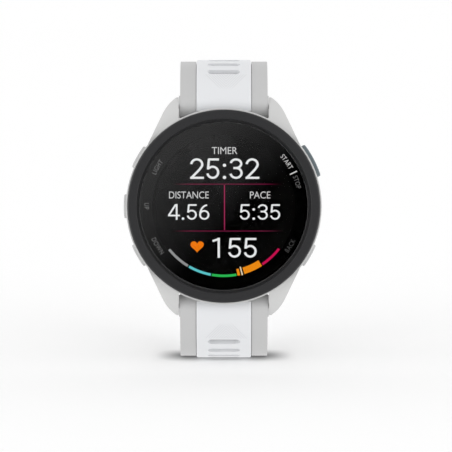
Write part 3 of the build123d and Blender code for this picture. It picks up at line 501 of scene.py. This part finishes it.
def build_rules():
    """Thin rules between the fields, fading at their ends."""
    left, right, top, bottom, line = -11.8 * MM, 13.2 * MM, 4.92 * MM, -5.52 * MM, 0.22 * MM
    middle, half = (left + right) / 2, (right - left) / 2
    rule = lit("lit_rule", (0.13, 0.006, 0.035), 1.0, (middle, half, 5 * MM))
    for name, z in (("screen_rule_upper", top), ("screen_rule_lower", bottom)):
        points, faces = bar(left, right, z - line / 2, z + line / 2)
        new_piece(name, face_mesh(name, points, faces, SCREEN_DEPTH), rule)
    points, faces = bar(0.03 * MM, 0.25 * MM, bottom + line, top - line)
    new_piece("screen_rule_middle", face_mesh("screen_rule_middle", points, faces, SCREEN_DEPTH),
              lit("lit_rule_bright", (0.36, 0.02, 0.09)))


def build_heart():
    """Heart from two round lobes and a point."""
    centre_x, centre_z, width, height = -5.95 * MM, -9.1 * MM, 2.95 * MM, 2.6 * MM
    points = []
    steps = 72
    for i in range(steps):
        t = 2 * pi * i / steps
        x = 16 * sin(t) ** 3
        z = 13 * cos(t) - 5 * cos(2 * t) - 2 * cos(3 * t) - cos(4 * t)
        points.append((centre_x + x / 32 * width, centre_z + (z + 2.5) / 29 * height))
    new_piece("screen_heart", face_mesh("screen_heart", points, [tuple(range(steps))], SCREEN_DEPTH),
              lit("lit_orange", (0.90, 0.20, 0.004)))


GAUGE_RADIUS = 15.5 * MM
GAUGE_WIDTH = 0.55 * MM
GAUGE = (
    ("grey", 218.3, 238.9, (0.30, 0.31, 0.31)),
    ("cyan", 240.0, 259.2, (0.11, 0.58, 0.62)),
    ("green", 260.1, 280.4, (0.025, 0.50, 0.09)),
    ("red", 303.6, 322.3, (0.58, 0.007, 0.08)),
)


def build_gauge():
    """Heart-rate zones along the lower rim, with the present zone thick and a pointer on it."""
    for colour, first, last, shade in GAUGE:
        name = "screen_zone_" + colour
        points, faces = arc_strip(GAUGE_RADIUS, GAUGE_WIDTH, first, last)
        new_piece(name, face_mesh(name, points, faces, SCREEN_DEPTH), lit("lit_" + colour, shade))
    thick = 1.5 * MM
    inner = GAUGE_RADIUS + GAUGE_WIDTH / 2 - thick / 2
    orange = lit("lit_zone_orange", (0.88, 0.27, 0.008))
    for name, first, last in (("screen_zone_orange_short", 281.2, 283.4),
                              ("screen_zone_orange", 286.9, 302.6)):
        points, faces = arc_strip(inner, thick, first, last)
        new_piece(name, face_mesh(name, points, faces, SCREEN_DEPTH), orange)
    points, faces = arc_strip(inner - 0.1 * MM, 1.95 * MM, 284.5, 285.7, 4)
    new_piece("screen_pointer", face_mesh("screen_pointer", points, faces, SCREEN_DEPTH),
              lit("lit_pointer", (0.80, 0.66, 0.45)))


def build_legends():
    """Printed black border of the lens, and the button legends on it, drawn as glowing emission: painted
    light.
    """
    border = black_panel("printed_border", 0.02, 0.5)
    steps, inset = 160, 0.2 * MM
    points, faces = arc_strip((LENS_RADIUS + PRINT_INNER) / 2 - inset / 2, LENS_RADIUS - PRINT_INNER - inset,
                              0, 360, steps)
    points = points[:-2]       # the last pair meets the first
    faces = faces[:-1] + [(2 * steps - 2, 2 * steps - 1, 1, 0)]
    new_piece("lens_border_print", face_mesh("lens_border_print", points, faces, PRINT_DEPTH), border)
    # The legends are print drawn as emission, painted light at fixed levels: brightest on START and its bar,
    # then STOP, then LIGHT, UP and DOWN, faintest on BACK.
    dim = lit("legend_glow_dim", (0.15, 0.15, 0.15))
    faint = lit("legend_glow_faint", (0.06, 0.06, 0.06))
    mid = lit("legend_glow_mid", (0.14, 0.14, 0.14))
    bright = lit("legend_glow_bright", (0.62, 0.62, 0.62))
    for words, angle, ink, outward in (("LIGHT", 149.5, dim, True), ("UP", 180, dim, False),
                                       ("DOWN", 211, dim, False), ("START", 35.2, bright, True),
                                       ("STOP", 18.2, mid, True), ("BACK", -30.7, faint, False)):
        curved_word("legend_" + words.lower(), words, LEGEND_RADIUS, angle, LEGEND_HEIGHT, ink, outward)
    points, faces = arc_strip(LEGEND_RADIUS, 1.75 * MM, 25.2, 26.1, 3)
    new_piece("legend_bar", face_mesh("legend_bar", points, faces, LEGEND_DEPTH), bright)


# ---------------------------------------------------------------- dress the frame
def dress_head():
    """Materials of the head's nodes."""
    dress(turned_polymer("bezel_polymer"), "bezel_ring")
    dress(lens("lens_glass_clear"), "lens_glass")
    dress(clear_film("adhesive_film"), "display_adhesive")
    dress(black_panel("display_black"), "display_panel")
    dress(moulded("case_polymer", (0.69, 0.69, 0.685), (0.65, 0.65, 0.645), 0.5), "main_case")
    dress(moulded("cover_polymer", (0.42, 0.42, 0.42), (0.37, 0.37, 0.37), 0.5, 2600, 0.00004), "rear_cover")
    dress(moulded("black_polymer", (0.03, 0.03, 0.032), (0.02, 0.02, 0.022), 0.5), "display_frame",
          "charge_socket", "board_chips", "bluetooth_antenna", "tactile_switches")
    dress(silicone("seal_rubber", (0.03, 0.03, 0.03), (0.02, 0.02, 0.02)), "lens_gasket", "rear_gasket",
          "button_seals")
    dress(brushed("screw_steel", (0.5, 0.5, 0.51), 0.32), "rear_screws", "vibration_motor",
          *[n for n in NODES if n.endswith("_clip")])
    dress(smoked_window("sensor_window_dark"), "sensor_window")
    dress(circuit_board("circuit_board_green"), "main_board", "sensor_board")
    dress(lit("emitter_green", (0.05, 0.6, 0.2), 0.4), "sensor_leds")
    dress(black_panel("photodiode_black"), "sensor_photodiodes")
    dress(brushed("contact_gold", (0.83, 0.60, 0.26), 0.25), "charge_contacts", "gps_antenna", "buzzer")
    dress(moulded("vent_membrane", (0.2, 0.2, 0.2), (0.12, 0.12, 0.12), 0.8), "port_membrane")
    dress(brushed("can_tin", (0.7, 0.7, 0.7), 0.35), "shield_cans")
    dress(brushed("pouch_foil", (0.6, 0.6, 0.62), 0.4, (300, 300, 300)), "battery")
    dress(moulded("ribbon_amber", (0.6, 0.3, 0.05), (0.5, 0.25, 0.04), 0.4), "display_flex")
    grey = moulded("button_polymer", (0.60, 0.60, 0.60), (0.56, 0.56, 0.56), 0.42)
    dress(grey, "back_button", "light_button", "up_button", "down_button")
    dress(moulded("start_polymer", (0.15, 0.185, 0.20), (0.135, 0.165, 0.18), 0.38), "start_stop_button")


def dress_strap():
    """Materials of the strap, the buckle and the spring bars."""
    steel = brushed("buckle_steel", (0.62, 0.62, 0.63), 0.3)
    dress(steel, "buckle_frame", "buckle_pin", "buckle_tongue")
    bar_steel = brushed("bar_steel", (0.55, 0.55, 0.56), 0.28)
    bar_nodes = [n for n in NODES if "_bar_" in n and not n.endswith("_spring")]
    dress(bar_steel, *bar_nodes, "upper_release_lever", "lower_release_lever")
    grey = silicone("strap_grey_silicone", (0.60, 0.60, 0.60), (0.565, 0.565, 0.565))
    dress(grey, "strap_upper", "strap_lower", "fixed_keeper", "sliding_keeper")
    white = hatched_silicone("strap_white_silicone", (0.83, 0.84, 0.86), (0.79, 0.80, 0.82))
    dress(white, "strap_upper_panel", "strap_lower_panel")


# ---------------------------------------------------------------- springs
def shortening_spring(node, joint, body, material):
    """Stands for one coil of a node: a copy of that coil's mesh that rides on the given body, with the node
    hidden.
    """
    push = Vector(joint["axis"])
    mesh = NODES[node].data.copy()
    bm = bmesh.new()
    bm.from_mesh(mesh)
    if node == "button_springs":           # one node holds all five coils
        elsewhere = [v for v in bm.verts if Vector((v.co.x, 0, v.co.z)).normalized().dot(push) > -0.95]
        bmesh.ops.delete(bm, geom=elsewhere, context="VERTS")
    bm.to_mesh(mesh)
    bm.free()
    spring = new_piece(joint["name"] + "_spring", mesh, material, body)
    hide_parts(node)
    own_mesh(spring)


def build_springs():
    """The seven springs of the button presses and the bar releases."""
    wire = brushed("spring_wire", (0.5, 0.5, 0.51), 0.32)
    for joint in frame["joints"]:
        if joint["name"].endswith("_press"):
            shortening_spring("button_springs", joint, "head", wire)
        elif joint["name"].endswith("_release_slide"):
            shortening_spring(joint["name"].split("_")[0] + "_bar_spring", joint, joint["parent"], wire)


# ---------------------------------------------------------------- studio
FLOOR_TILT = radians(6)        # the table falls away towards the camera


def build_floor():
    """White table under the lower strap, with a painted contact shadow: a soft dark patch where the strap
    stands at rest.
    """
    up = Vector((0, -sin(FLOOR_TILT), cos(FLOOR_TILT)))
    lowest = min(NODES["strap_lower"].data.vertices, key=lambda v: v.co.dot(up)).co
    level = lowest.dot(up) - 0.1 * MM
    contact = lowest.y * cos(FLOOR_TILT) + lowest.z * sin(FLOOR_TILT)
    f = Finish("floor_white", roughness=0.9, specular_ior_level=0.0)
    x, y, _ = f.parts(f.place())
    # Painted contact shadow: around where the lower strap stands at rest, the floor's colour falls to dark
    # grey and its faint glow fades; the patch is fixed on the floor and stays put when the strap moves.
    beside = x.size().step(8 * MM, 17 * MM)
    ahead = (y - contact).size().step(0.0, 13 * MM)
    lit_share = 1 - (1 - beside) * (1 - ahead)
    white = f.blend(f.noise(3, 2), (0.97, 0.97, 0.97), (0.985, 0.985, 0.985))
    glow = f.blend(lit_share, (0.0, 0.0, 0.0), (0.08, 0.08, 0.08))
    material = f.wear(base_color=f.blend(lit_share, (0.22, 0.22, 0.225), white), emission_color=glow,
                      emission_strength=1.0)
    mesh = bpy.data.meshes.new("floor")
    size = 3.0
    mesh.from_pydata([(-size, -size, level), (size, -size, level), (size, size, level), (-size, size, level)],
                     [], [(0, 1, 2, 3)])
    floor = bpy.data.objects.new("floor", mesh)
    bpy.context.scene.collection.objects.link(floor)
    floor.data.materials.append(material)
    floor.rotation_euler.x = FLOOR_TILT
    floor.visible_diffuse = floor.visible_glossy = floor.visible_shadow = False


def build_world():
    """White studio, weaker overhead, and dark straight behind the camera so that glass stays black."""
    world = bpy.data.worlds.new("studio")
    bpy.context.scene.world = world
    world.use_nodes = True
    tree = world.node_tree
    tree.nodes.clear()
    new, link = tree.nodes.new, tree.links.new
    out, mix = new("ShaderNodeOutputWorld"), new("ShaderNodeMixShader")
    path, seen, light = new("ShaderNodeLightPath"), new("ShaderNodeBackground"), new("ShaderNodeBackground")
    coords, split, ramp = new("ShaderNodeTexCoord"), new("ShaderNodeSeparateXYZ"), new("ShaderNodeMapRange")
    height, sky, product = new("ShaderNodeMath"), new("ShaderNodeMapRange"), new("ShaderNodeMath")
    height.operation, product.operation = "ABSOLUTE", "MULTIPLY"
    for node, ends in ((ramp, (-0.985, -0.90, 0.012, 1.0)), (sky, (0.25, 1.0, 1.37, 0.66))):
        node.interpolation_type = "SMOOTHSTEP"
        for key, value in zip(("From Min", "From Max", "To Min", "To Max"), ends):
            node.inputs[key].default_value = value
    link(coords.outputs["Generated"], split.inputs[0])
    link(split.outputs["Y"], ramp.inputs["Value"])
    link(split.outputs["Z"], height.inputs[0])
    link(height.outputs[0], sky.inputs["Value"])
    link(ramp.outputs[0], product.inputs[0])
    link(sky.outputs[0], product.inputs[1])
    link(product.outputs[0], light.inputs["Strength"])
    seen.inputs["Strength"].default_value = 1.0
    seen.inputs["Color"].default_value = (1, 1, 1, 1)
    light.inputs["Color"].default_value = (1, 1, 1, 1)
    link(path.outputs["Is Camera Ray"], mix.inputs[0])
    link(light.outputs[0], mix.inputs[1])
    link(seen.outputs[0], mix.inputs[2])
    link(mix.outputs[0], out.inputs[0])


SENSOR_WIDTH = 36
CAMERA_DISTANCE = 1.25
CAMERA_RISE = radians(0.2)
FIELD_WIDTH = 0.10058          # width seen at the bezel's front
AIM = Vector((0.00048, 0.0, -0.0044))


def build_camera():
    """Long lens straight ahead of the display, a hair above it."""
    front = CAD_BOX[0][1]
    data = bpy.data.cameras.new("camera")
    data.sensor_width = SENSOR_WIDTH
    data.lens = SENSOR_WIDTH * CAMERA_DISTANCE / FIELD_WIDTH
    data.dof.use_dof = False
    camera = bpy.data.objects.new("camera", data)
    aim = Vector((AIM.x, front, AIM.z))
    camera.location = aim + Vector((0, -cos(CAMERA_RISE), sin(CAMERA_RISE))) * CAMERA_DISTANCE
    camera.rotation_euler = (aim - camera.location).to_track_quat("-Z", "Y").to_euler()
    bpy.context.scene.collection.objects.link(camera)
    bpy.context.scene.camera = camera


def build_reflection_card():
    """Soft card behind the camera, mirrored in the upper left of the lens."""
    f = Finish("card_glow", base_color=(0.0, 0.0, 0.0), roughness=1.0, specular_ior_level=0.0)
    x, _, z = f.parts(f.place())
    slope = (((z - x) + 0.011) / 0.061).clip()
    material = f.wear(emission_color=f.blend(slope, (0.0, 0.0, 0.0), (1.0, 1.0, 1.0)), emission_strength=0.41)
    mesh = bpy.data.meshes.new("reflection_card")
    half, back = 0.09, -1.6
    mesh.from_pydata([(-half, back, -half), (half, back, -half), (half, back, half), (-half, back, half)],
                     [], [(0, 1, 2, 3)])
    card = bpy.data.objects.new("reflection_card", mesh)
    bpy.context.scene.collection.objects.link(card)
    card.data.materials.append(material)
    card.visible_camera = False


build_camera()
build_world()
build_floor()
build_reflection_card()
dress_head()
dress_strap()
build_display()
build_legends()
build_springs()

bpy.context.scene.view_settings.view_transform = "Standard"
bpy.context.scene.view_settings.look = "None"
